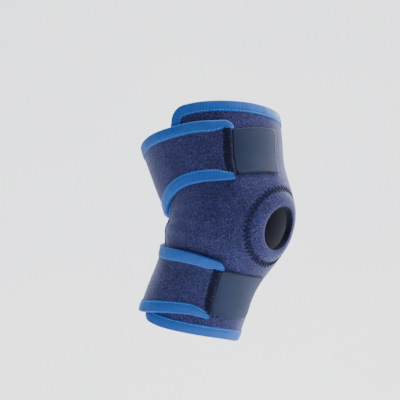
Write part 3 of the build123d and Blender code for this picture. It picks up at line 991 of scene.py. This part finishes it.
@dataclass(frozen=True)
class JerseyLining:
    """Smooth jersey next to the skin, near-black navy with fine wales."""

    name: str = "jersey_lining"
    colour: str = "#0e1226"
    light: str = "#1f2747"
    wale_scale: float = 260.0  # a wale every 1.2 mm
    fuzz_per_metre: float = 700.0  # brushed fibre ends 1.4 mm apart

    def build(self) -> bpy.types.Material:
        """Returns: the material."""
        g = Graph(self.name)
        cut = g.add("ShaderNodeUVMap", uv_map="cut")
        place = g.add("ShaderNodeTexCoord").outputs["Object"]
        wales = g.add("ShaderNodeTexWave", {"Vector": cut.outputs[0], "Scale": self.wale_scale,
                                            "Distortion": 0.8},
                      bands_direction="X")
        fuzz = g.add("ShaderNodeTexNoise", {"Vector": place, "Scale": self.fuzz_per_metre, "Detail": 3.0})
        mixed = g.add("ShaderNodeMath", {0: wales.outputs["Fac"], 1: fuzz.outputs["Fac"]},
                      operation="MULTIPLY")
        colour = g.ramp(mixed.outputs[0], [(0.1, self.colour), (0.75, self.light)])
        bump = g.add("ShaderNodeBump", {"Height": mixed.outputs[0], "Strength": 0.3, "Distance": 0.0003})
        rough = g.add("ShaderNodeMapRange", {"Value": fuzz.outputs["Fac"], "To Min": 0.75, "To Max": 0.95})
        shader = g.add("ShaderNodeBsdfPrincipled", {
            "Base Color": colour, "Roughness": rough.outputs[0], "Normal": bump.outputs[0],
            "Sheen Weight": 0.3, "Sheen Roughness": 0.5, "Specular IOR Level": 0.2})
        return g.finish(shader)


@dataclass(frozen=True)
class FoamEdge:
    """Cut neoprene foam: black closed cells between the two knits."""

    name: str = "cut_foam_edge"
    colour: str = "#080a12"
    cells_per_metre: float = 2200.0  # closed cells just under 0.5 mm

    def build(self) -> bpy.types.Material:
        """Returns: the material."""
        g = Graph(self.name)
        place = g.add("ShaderNodeTexCoord").outputs["Object"]
        cells = g.add("ShaderNodeTexVoronoi", {"Vector": place, "Scale": self.cells_per_metre})
        colour = g.ramp(cells.outputs["Distance"], [(0.1, self.colour), (0.8, "#1a1e33")])
        bump = g.add("ShaderNodeBump", {"Height": cells.outputs["Distance"], "Strength": 0.4,
                                        "Distance": 0.0003})
        rough = g.add("ShaderNodeMapRange", {"Value": cells.outputs["Distance"], "To Min": 0.8,
                                             "To Max": 1.0})
        shader = g.add("ShaderNodeBsdfPrincipled", {
            "Base Color": colour, "Normal": bump.outputs[0], "Roughness": rough.outputs[0],
            "Specular IOR Level": 0.15})
        return g.finish(shader)


@dataclass
class Finishes:
    """Every material of the brace, made once."""

    knit: bpy.types.Material = field(default_factory=lambda: LoopKnit().build())
    binding: bpy.types.Material = field(default_factory=lambda: BindingKnit().build())
    dark_thread: bpy.types.Material = field(
        default_factory=lambda: SewingThread("dark_thread", "#05071c", "#0d1130").build())
    blue_thread: bpy.types.Material = field(
        default_factory=lambda: SewingThread("blue_thread", "#2a76c4", "#6fb0ec").build())
    tab: bpy.types.Material = field(default_factory=lambda: MouldedTab().build())
    hooks: bpy.types.Material = field(default_factory=lambda: HookField().build())
    lining: bpy.types.Material = field(default_factory=lambda: JerseyLining().build())
    foam: bpy.types.Material = field(default_factory=lambda: FoamEdge().build())

    def laminate(self) -> list[bpy.types.Material]:
        """Returns: the laminate's face, cut edge and lining."""
        return [self.knit, self.foam, self.lining]


def dress(piece: bpy.types.Object, materials: Sequence[bpy.types.Material]) -> bpy.types.Object:
    """Puts materials on a new piece and logs how many faces it has.

    Args:
        piece: the piece.
        materials: its materials, one per slot.
    """
    for material in materials:
        piece.data.materials.append(material)
    LOG.info("%s: %d faces", piece.name, len(piece.data.polygons))
    return piece


def bend_with(piece: bpy.types.Object, start: Place, end: Place,
              share: Callable[[np.ndarray, np.ndarray], np.ndarray]) -> None:
    """Bakes a piece's transform and works out, by how far round or along the leg each point lies, how far it
    would follow the second body.

    Args:
        piece: the piece.
        start: place where the bend begins.
        end: place where the bend ends.
        share: how far each place follows the second body.
    """
    a, b = (tuple((LEG.points(*p, 4.0) * MM).tolist()) for p in (start, end))
    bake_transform(piece)
    points = np.zeros(len(piece.data.vertices) * 3)
    piece.data.vertices.foreach_get("co", points)
    angle, height = LEG.places(points.reshape(-1, 3) / MM)
    weights = share(angle, height).astype(np.float32)


def follow_knee(piece: bpy.types.Object) -> None:
    """Bakes the piece's transform and weighs its points for the knee, from the thigh to the calf."""
    bend_with(piece, (0.0, 12.0), (0.0, -38.0), knee_share)


@dataclass
class Panel:
    """The body of the brace: one laminate with the kneecap hole, its pad, its seam and its binding."""

    finishes: Finishes
    corner_top: float = 15.0
    corner_foot: float = 12.0
    pad_reach: float = 44.0
    zigzag_reach: float = 3.7
    zigzags: int = 54

    def lines(self) -> tuple[list[list[Place]], list[list[Place]]]:
        """Returns: the foot, inner side, top and outer side lines, and their end corners."""
        seam = CUT.seam_angle - 0.3
        low = meeting(CUT.outer_side, CUT.foot, -118.0)
        high = meeting(CUT.outer_side, CUT.top, 100.0)
        left_low, left_high = float(CUT.outer_side(np.array(low))), float(CUT.outer_side(np.array(high)))
        foot = across(CUT.foot, left_low, seam, 160)
        inner = upright(constant(seam), float(CUT.foot(np.array(seam))), float(CUT.top(np.array(seam))))
        top = across(CUT.top, seam, left_high, 160)
        outer = upright(CUT.outer_side, high, low, 120)
        return joined([foot, inner, top, outer], [0, 0, self.corner_top, self.corner_foot])

    def circle(self, radius: float, n: int) -> np.ndarray:
        """Args:
            radius: millimetres.
            n: how many places.

        Returns:
            Places round the kneecap hole at a radius, seen straight on.
        """
        centre = LEG.points(CUT.hole_angle, CUT.hole_height, 0)
        round_, up, out = LEG.frame_at(np.array(CUT.hole_angle), np.array(CUT.hole_height))
        x = round_ / np.linalg.norm(round_)
        y = np.cross(out, x)
        turn = np.linspace(0, 2 * np.pi, n, endpoint=False)[:, None]
        goal = centre + radius * (np.cos(turn) * x + np.sin(turn) * y)
        angle = np.full(n, CUT.hole_angle) + radius * np.cos(turn[:, 0]) * 0.85
        height = np.full(n, CUT.hole_height) + radius * np.sin(turn[:, 0]) * 0.65
        for _ in range(12):
            miss = goal - LEG.points(angle, height, 0)
            miss -= (miss @ out)[:, None] * out
            angle, height = LEG.shift(angle, height, miss * 0.8)
        return np.stack([angle, height], -1)

    def from_hole(self, angle: np.ndarray, height: np.ndarray) -> np.ndarray:
        """Args:
            angle: degrees round the leg, 0 at the front, negative to the outer side.
            height: millimetres along the centre line.

        Returns:
            Distance from the hole's middle seen straight on, large on the far side of the leg.
        """
        centre = LEG.points(CUT.hole_angle, CUT.hole_height, 0)
        out = LEG.frame_at(np.array(CUT.hole_angle), np.array(CUT.hole_height))[2]
        gap = LEG.points(angle, height, 0) - centre
        near = np.abs(np.asarray(angle)) < 88
        return np.where(near, np.linalg.norm(gap - (gap @ out)[..., None] * out, axis=-1), 999.0)

    def surface(self, angle: np.ndarray, height: np.ndarray) -> np.ndarray:
        """Args:
            angle: degrees round the leg, 0 at the front, negative to the outer side.
            height: millimetres along the centre line.

        Returns:
            Depth of the outer face: padded round the hole, drawn in at the seam, softly creased.
        """
        r = self.from_hole(angle, height)
        pad = 1.6 * np.exp(-((r - 29.0) / 5.8) ** 2) - 0.85 * np.exp(-((r - CUT.ring_radius) / 2.3) ** 2)
        rim = -0.5 * np.exp(-((r - CUT.hole_radius) / 1.6) ** 2)
        knee = np.exp(-((height + 10) / 26) ** 2) * smooth((np.abs(angle) - 48) / 30)
        crease = 0.45 * np.sin((height * 1.15 + 0.10 * angle) / 2.9 + 0.8 * np.sin(angle / 19))
        soft = 0.12 * np.sin(angle / 7.3 + height / 15) + 0.1 * np.sin(height / 9.1 - angle / 13)
        open_ = smooth((np.abs(height + 10.0) - 55) / -12)
        return CUT.fabric + pad + rim + knee * crease + soft * open_ - 0.05

    def pad_back(self, angle: np.ndarray, height: np.ndarray) -> np.ndarray:
        """Returns: depth of the pad's skin side, thinned towards its rim."""
        return -0.2 - 2.8 * smooth((self.pad_reach - self.from_hole(angle, height)) / 4)

    def build(self) -> None:
        """Makes the panel and everything sewn to it."""
        lines, arcs = self.lines()
        foot, inner, top, outer = lines
        hole = [tuple(p) for p in self.circle(CUT.hole_radius, 80)]
        panel = Laminate(chained(lines, arcs), self.surface, level(0.0), [hole], 2.0).build(
            "panel_laminate")
        dress(panel, self.finishes.laminate())
        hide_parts("thigh_panel", "knee_panel", "calf_panel")
        follow_knee(panel)
        self._pad(hole)
        self._seam()
        self._binding(top + arcs[2] + outer + arcs[3] + foot, inner)

    def _pad(self, hole: list[Place]) -> None:
        """The raised pad sewn inside the panel round the hole.

        Args:
            hole: places round the kneecap hole.
        """
        rim = [tuple(p) for p in self.circle(self.pad_reach, 150)]
        pad = Laminate(rim, level(-0.12), self.pad_back, [hole], 2.2).build("patella_pad")
        dress(pad, [self.finishes.lining, self.finishes.foam, self.finishes.lining])
        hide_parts("patella_buttress")
        follow_knee(pad)

    def _seam(self) -> None:
        """The zigzag seam round the hole that holds the pad."""
        places = self.circle(CUT.ring_radius, 2 * self.zigzags)
        places = np.concatenate([places, places[:1]])
        centre = LEG.points(CUT.hole_angle, CUT.hole_height, 0)
        away = LEG.points(places[:, 0], places[:, 1], 0) - centre
        away /= np.linalg.norm(away, axis=1, keepdims=True)
        turn = np.where(np.arange(len(places)) % 2 == 0, 1.0, -1.0)[:, None]
        threads = zigzag(places, away * turn * self.zigzag_reach, self.surface, 0.25, 11)
        seam = dress(tubes("patella_zigzag", threads, 0.36), [self.finishes.dark_thread])
        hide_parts("patella_stitching")
        follow_knee(seam)

    def _binding(self, path: list[Place], inner: list[Place]) -> None:
        """The folded binding round the panel's free edges, and its topstitching.

        Args:
            path: the top, outer side and foot edges.
            inner: the inner side line.
        """
        around = Tape(path, 1, constant(0.0))
        back = Tape([p for p in inner if -48.0 < p[1] < 11.5], 1, constant(0.0))
        stitches = around.stitches() + back.stitches()
        band = dress(around.build("panel_binding"), [self.finishes.binding])
        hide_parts("thigh_edge_binding", "calf_edge_binding", "knee_outer_binding")
        short = dress(back.build("panel_inner_binding"), [self.finishes.binding])
        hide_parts("knee_inner_binding")
        rows = dress(tubes("panel_topstitch", stitches, 0.3), [self.finishes.blue_thread])
        for piece in (band, short, rows):
            follow_knee(piece)


@dataclass
class Strap:
    """One wrap strap with its sewn wing, bindings and topstitching, and the seams along it.

    Args:
        name: of the strap body; root: the body it is sewn to.
        replaced: CAD nodes its laminate, top binding, foot binding, wing seam and tab stitching stand for.
    """

    name: str
    root: str
    top: Spline
    foot: Spline
    end: Spline
    replaced: dict[str, tuple[str, ...]]
    finishes: Finishes
    corner_top: float = 7.0
    corner_foot: float = 3.0

    def lines(self) -> tuple[list[list[Place]], list[list[Place]]]:
        """Returns: the foot, end, top and seam lines of the strap, and their end corners."""
        start = CUT.seam_angle + 0.3 - 360
        low = self._cross(self.foot)
        high = self._cross(self.top)
        foot = across(self._wrapped(self.foot), start, low[0], 170)
        end = upright(self.end, low[1], high[1], 50)
        top = across(self._wrapped(self.top), high[0], start, 170)
        seam = upright(constant(start), top[-1][1], foot[0][1], 50)
        return joined([foot, end, top, seam], [self.corner_foot, self.corner_top, 0, 0])

    def _wrapped(self, line: Spline) -> Callable[[np.ndarray], np.ndarray]:
        """Returns: the strap's line, carried level from the back fold to the seam."""
        return lambda angle: line(np.maximum(angle, CUT.hinge_angle))

    def _cross(self, line: Spline) -> Place:
        """Args:
            line: a cross line of the pattern.

        Returns:
            The place where the end line meets a cross line.
        """
        angle = -45.0
        for _ in range(12):
            angle = float(self.end(np.array(float(line(np.array(angle))))))
        return angle, float(line(np.array(angle)))

    def surface(self, angle: np.ndarray, height: np.ndarray) -> np.ndarray:
        """Returns: depth of the strap's outer face, with the soft hollows of pulled fabric."""
        soft = 0.16 * np.sin(angle / 9.5 + height / 11) + 0.12 * np.sin(height / 6.8 - angle / 17)
        return CUT.ramp(angle) + CUT.fabric + soft * smooth((np.asarray(angle) + 240) / 30) - 0.05

    def skin_side(self, angle: np.ndarray, height: np.ndarray) -> np.ndarray:
        """Returns: depth of the strap's skin side."""
        return CUT.ramp(angle)

    def width(self, along: np.ndarray) -> np.ndarray:
        """Returns: width of a binding, narrowing over the last of its run to the tab."""
        narrowed = BINDING_WIDTH - 3.6 * smooth((np.asarray(along) - 0.90) / 0.08)
        return narrowed * np.sqrt(1.05 - np.clip((np.asarray(along) - 0.985) / 0.015, 0, 1) ** 2)

    def follow(self, piece: bpy.types.Object) -> None:
        """Bakes the piece's transform and weighs its points across the place where the strap is opened,
        behind the knee.

        Args:
            piece: the piece.
        """
        middle = float((self.top(np.array(CUT.hinge_angle)) + self.foot(np.array(CUT.hinge_angle))) / 2)
        bend_with(piece, (CUT.hinge_angle - 9, middle), (CUT.hinge_angle + 9, middle),
                  hinge_share)

    def build(self) -> None:
        """Makes the strap, its bindings and its seams."""
        lines, arcs = self.lines()
        foot, _, top, _ = lines
        body = Laminate(chained(lines, arcs), self.surface, self.skin_side, [], 2.2)
        piece = dress(body.build(f"{self.name}_laminate"), self.finishes.laminate())
        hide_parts(*self.replaced["laminate"])
        self.follow(piece)
        stitches = []
        for key, path in (("top", (arcs[1] + top)[::-1]), ("foot", foot + arcs[0][:5])):
            tape = self._tape(key, path)
            band = dress(tape.build(f"{self.name}_{key}_band"), [self.finishes.binding])
            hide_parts(*self.replaced[key])
            self.follow(band)
            stitches += tape.stitches()
        rows = dress(tubes(f"{self.name}_topstitch", stitches, 0.3), [self.finishes.blue_thread])
        self.follow(rows)
        self._wing_seam()
        self._tab_seam()

    def _tape(self, key: str, path: list[Place]) -> Tape:
        """Returns: the binding of the top or foot edge, running from the seam to the tab."""
        return Tape(path, -1 if key == "top" else 1, CUT.ramp, self.width)

    def _wing_seam(self) -> None:
        """The zigzag that joins the strap to the panel at the inner side."""
        low, high = (float(line(np.array(CUT.hinge_angle))) for line in (self.foot, self.top))
        heights = np.arange(low + 9, high - 9, 1.9)
        places = np.stack([np.full(len(heights), CUT.seam_angle), heights], -1)
        step = LEG.frame_at(places[:, 0], places[:, 1])[0]
        step /= np.linalg.norm(step, axis=1, keepdims=True)
        turn = np.where(np.arange(len(places)) % 2 == 0, 1.0, -1.0)[:, None]
        threads = zigzag(places, step * turn * 2.9, level(CUT.fabric + 0.1), 0.2, 5)
        seam = dress(tubes(f"{self.root}_wing_zigzag", threads, 0.42), [self.finishes.dark_thread])
        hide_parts(*self.replaced["wing_seam"])
        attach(seam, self.root)

    def _tab_seam(self) -> None:
        """The dense zigzag that sews the tab under the strap's end."""
        low, high = self._cross(self.foot)[1] + 3.0, self._cross(self.top)[1] - 5.0
        heights = np.arange(low, high, 0.8)
        line = np.stack([self.end(heights) - 3.9, heights], -1)
        step = LEG.frame_at(line[:, 0], line[:, 1])[0]
        step /= np.linalg.norm(step, axis=1, keepdims=True)
        turn = np.where(np.arange(len(line)) % 2 == 0, 1.0, -1.0)[:, None]
        threads = zigzag(line, step * turn * 3.6, self.surface, 0.35, 7)
        seam = dress(tubes(f"{self.name}_tab_zigzag", threads, 0.46), [self.finishes.dark_thread])
        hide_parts(*self.replaced["tab_seam"])
        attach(seam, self.name)


@dataclass
class Tab:
    """Moulded hook tab at the end of a strap: thin, stiff, with a raised welded border.

    Args:
        name: of its body; heights: its foot and top; end: the strap's end line.
    """

    name: str
    heights: tuple[float, float]
    end: Spline
    finishes: Finishes
    length: float = 49.0
    corner: float = 5.0
    thickness: float = 0.9

    def build(self) -> None:
        """Makes the tab's back."""
        low, high = self.heights
        degree = float(np.linalg.norm(LEG.frame_at(self.end(np.array((low + high) / 2)),
                                                   (low + high) / 2)[0]))

        def near(place: np.ndarray) -> np.ndarray:
            """Returns: the tab's side line at the strap."""
            return self.end(place) + 0.7 / degree

        def far(place: np.ndarray) -> np.ndarray:
            """Returns: the tab's side line at its tip."""
            return self.end(place) + (self.length + 0.7) / degree

        foot = across(constant(low), float(near(low)), float(far(low)), 40)
        tip = upright(far, low, high, 40)
        top = across(constant(high), float(far(high)), float(near(high)), 40)
        root = upright(near, high, low, 40)
        loops = joined([foot, tip, top, root], [self.corner] * 4)
        outline = chained(*loops)
        rim = np.array(outline)
        base = CUT.tab_depth + 0.55

        def outer(angle: np.ndarray, height: np.ndarray) -> np.ndarray:
            """Args:
                angle: degrees round the leg, 0 at the front, negative to the outer side.
                height: millimetres along the centre line.

            Returns:
                Depth of the tab's face: a soft border, faint ripples between.
            """
            gap = self._gap(rim, angle, height)
            border = 0.22 * np.exp(-((gap - 1.5) / 0.8) ** 2) - 0.12 * np.exp(-((gap - 3.2) / 0.7) ** 2)
            return base + self.thickness + border - 0.35 * np.exp(-(gap / 0.5) ** 2)

        tab = Laminate(outline, outer, level(base), [], 1.3, 0.12).build(f"{self.name}_back")
        places = np.zeros((len(tab.data.vertices), 3))
        tab.data.vertices.foreach_get("co", places.ravel())
        gap = self._gap(rim, *LEG.places(places / MM))
        # distance from the outline, kept for the tab material's painted shade along its edge
        layer = tab.data.attributes.new("rim", "FLOAT", "POINT")
        layer.data.foreach_set("value", gap.astype(np.float32))
        dress(tab, [self.finishes.tab] * 3)
        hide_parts(self.name)
        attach(tab, self.name)

    def _gap(self, rim: np.ndarray, angle: np.ndarray, height: np.ndarray) -> np.ndarray:
        """Args:
            rim: places of the tab's outline.
            angle: degrees round the leg, 0 at the front, negative to the outer side.
            height: millimetres along the centre line.

        Returns:
            Flat distance of each place from the tab's outline, in millimetres.
        """
        scale = np.array([STRETCH, 1.0])
        places = np.stack([np.atleast_1d(angle), np.atleast_1d(height)], -1) * scale
        edge = np.array(spread([tuple(p) for p in rim], 0.5, True)) * scale
        return np.sqrt(((places[:, None] - edge[None]) ** 2).sum(-1)).min(1)


@dataclass
class Brace:
    """The whole knee brace."""

    finishes: Finishes

    def build(self) -> None:
        """Makes every sewn piece and finishes the CAD pieces that stay."""
        Panel(self.finishes).build()
        Strap("upper_strap", "thigh", CUT.upper_top, CUT.upper_foot, CUT.upper_end, {
            "laminate": ("upper_strap", "upper_wing"), "top": ("upper_strap_top_binding",),
            "foot": ("upper_strap_foot_binding",
                     "upper_popliteal_binding"), "wing_seam": ("upper_wing_seam",),
            "tab_seam": ("upper_tab_stitching",)}, self.finishes).build()
        Strap("lower_strap", "calf", CUT.lower_top, CUT.lower_foot, CUT.lower_end, {
            "laminate": ("lower_strap", "lower_wing"), "foot": ("lower_strap_foot_binding",),
            "top": ("lower_strap_top_binding", "lower_popliteal_binding"), "wing_seam": ("lower_wing_seam",),
            "tab_seam": ("lower_tab_stitching",)}, self.finishes).build()
        Tab("upper_tab", (24.5, 67.7), CUT.upper_end, self.finishes).build()
        Tab("lower_tab", (-89.0, -44.5), CUT.lower_end, self.finishes).build()
        self.finish_kept()

    def finish_kept(self) -> None:
        """Gives the tongues and hook fields their materials."""
        kept = {"upper_tab_tongue": self.finishes.lining, "lower_tab_tongue": self.finishes.lining,
                "upper_tab_hooks": self.finishes.hooks, "lower_tab_hooks": self.finishes.hooks}
        for node, material in kept.items():
            piece = bpy.data.objects.get(node)
            if piece is None:
                LOG.warning("no node called %s", node)
                continue
            piece.data.materials.clear()
            piece.data.materials.append(material)
            LOG.info("%s: finished", node)


@dataclass
class Studio:
    """A pale seamless sweep and soft lights."""

    azimuth: float = -52.0
    elevation: float = -6.0
    distance: float = 2.2
    floor: float = -0.5

    def build(self) -> None:
        """Makes the sweep, the lights and the camera."""
        self._sweep()
        self._world()
        self._light("key_softbox", (0.9, -1.5, 0.9), 0.9, 44, "#fff6ee")
        self._light("fill_softbox", (-1.9, -0.8, 0.4), 1.5, 9, "#eef2ff")
        self._light("rim_softbox", (1.4, -0.1, 0.5), 0.6, 22, "#ffffff")
        self._light("sweep_softbox", (0.6, 0.4, 2.6), 2.4, 230, "#ffffff", (0.9, 0.9, 0.2))
        self._camera()

    def _sweep(self) -> None:
        """A floor that curves up into a backdrop, well under the brace."""
        profile = [(-4.0, 0.0), (0.8, 0.0)]
        profile += [(0.8 + 1.2 * math.sin(t), 1.2 - 1.2 * math.cos(t)) for t in np.linspace(0, math.pi / 2,
                                                                                            14)[1:]]
        profile += [(2.0, 4.0)]
        turn = math.radians(self.azimuth)
        ahead = np.array([-math.sin(turn), math.cos(turn)])
        side = np.array([ahead[1], -ahead[0]])
        points, faces = [], []
        for run, rise in profile:
            for reach in (-5.0, 5.0):
                x, y = ahead * run + side * reach
                points.append((x, y, self.floor + rise))
        for i in range(len(profile) - 1):
            faces.append((2 * i, 2 * i + 1, 2 * i + 3, 2 * i + 2))
        sweep = make_mesh("paper_sweep", np.array(points) / MM, faces, [0] * len(faces))
        g = Graph("paper_sweep")
        place = g.add("ShaderNodeTexCoord").outputs["Object"]
        grain = g.add("ShaderNodeTexNoise", {"Vector": place, "Scale": 3.0, "Detail": 6.0})
        colour = g.ramp(grain.outputs["Fac"], [(0.3, "#e4e6ea"), (0.7, "#eceef0")])
        sweep.data.materials.append(g.finish(g.add("ShaderNodeBsdfPrincipled", {
            "Base Color": colour, "Roughness": 0.9, "Specular IOR Level": 0.1})))

    def _world(self) -> None:
        """Pale even light from all round."""
        world = bpy.data.worlds.new("soft_room")
        world.use_nodes = True
        back = world.node_tree.nodes["Background"]
        back.inputs["Color"].default_value = linear("#dfe6f0")
        back.inputs["Strength"].default_value = 0.34
        bpy.context.scene.world = world

    def _light(self, name: str, spot: tuple[float, float, float], size: float, watts: float, colour: str,
               aim: tuple[float, float, float] = (0.0, 0.0, 0.0)) -> None:
        """A square softbox aimed at the knee, or at another spot.

        Args:
            name: name of the light.
            spot: where it stands, in metres.
            size: of its square, in metres.
            watts: power.
            colour: sRGB hex colour.
            aim: point it faces, in metres.
        """
        light = bpy.data.lights.new(name, "AREA")
        light.size = size
        light.energy = watts
        light.color = linear(colour)[:3]
        lamp = bpy.data.objects.new(name, light)
        lamp.location = spot
        lamp.rotation_euler = (Vector(aim) - Vector(spot)).to_track_quat("-Z", "Y").to_euler()
        bpy.context.collection.objects.link(lamp)

    def _camera(self) -> None:
        """A long lens, slightly below the knee and round to the outer side."""
        a, e = math.radians(self.azimuth), math.radians(self.elevation)
        back = Vector((math.sin(a) * math.cos(e), -math.cos(a) * math.cos(e), math.sin(e)))
        lens = bpy.data.cameras.new("camera")
        lens.lens = 198.0
        lens.sensor_width = 36.0
        lens.shift_x = -0.068
        lens.shift_y = 0.044
        camera = bpy.data.objects.new("camera", lens)
        camera.location = back * self.distance
        camera.rotation_euler = back.to_track_quat("Z", "Y").to_euler()
        bpy.context.collection.objects.link(camera)
        bpy.context.scene.camera = camera


def main() -> None:
    """Builds the scene."""
    Brace(Finishes()).build()
    Studio().build()


if __name__ == "__main__":
    main()
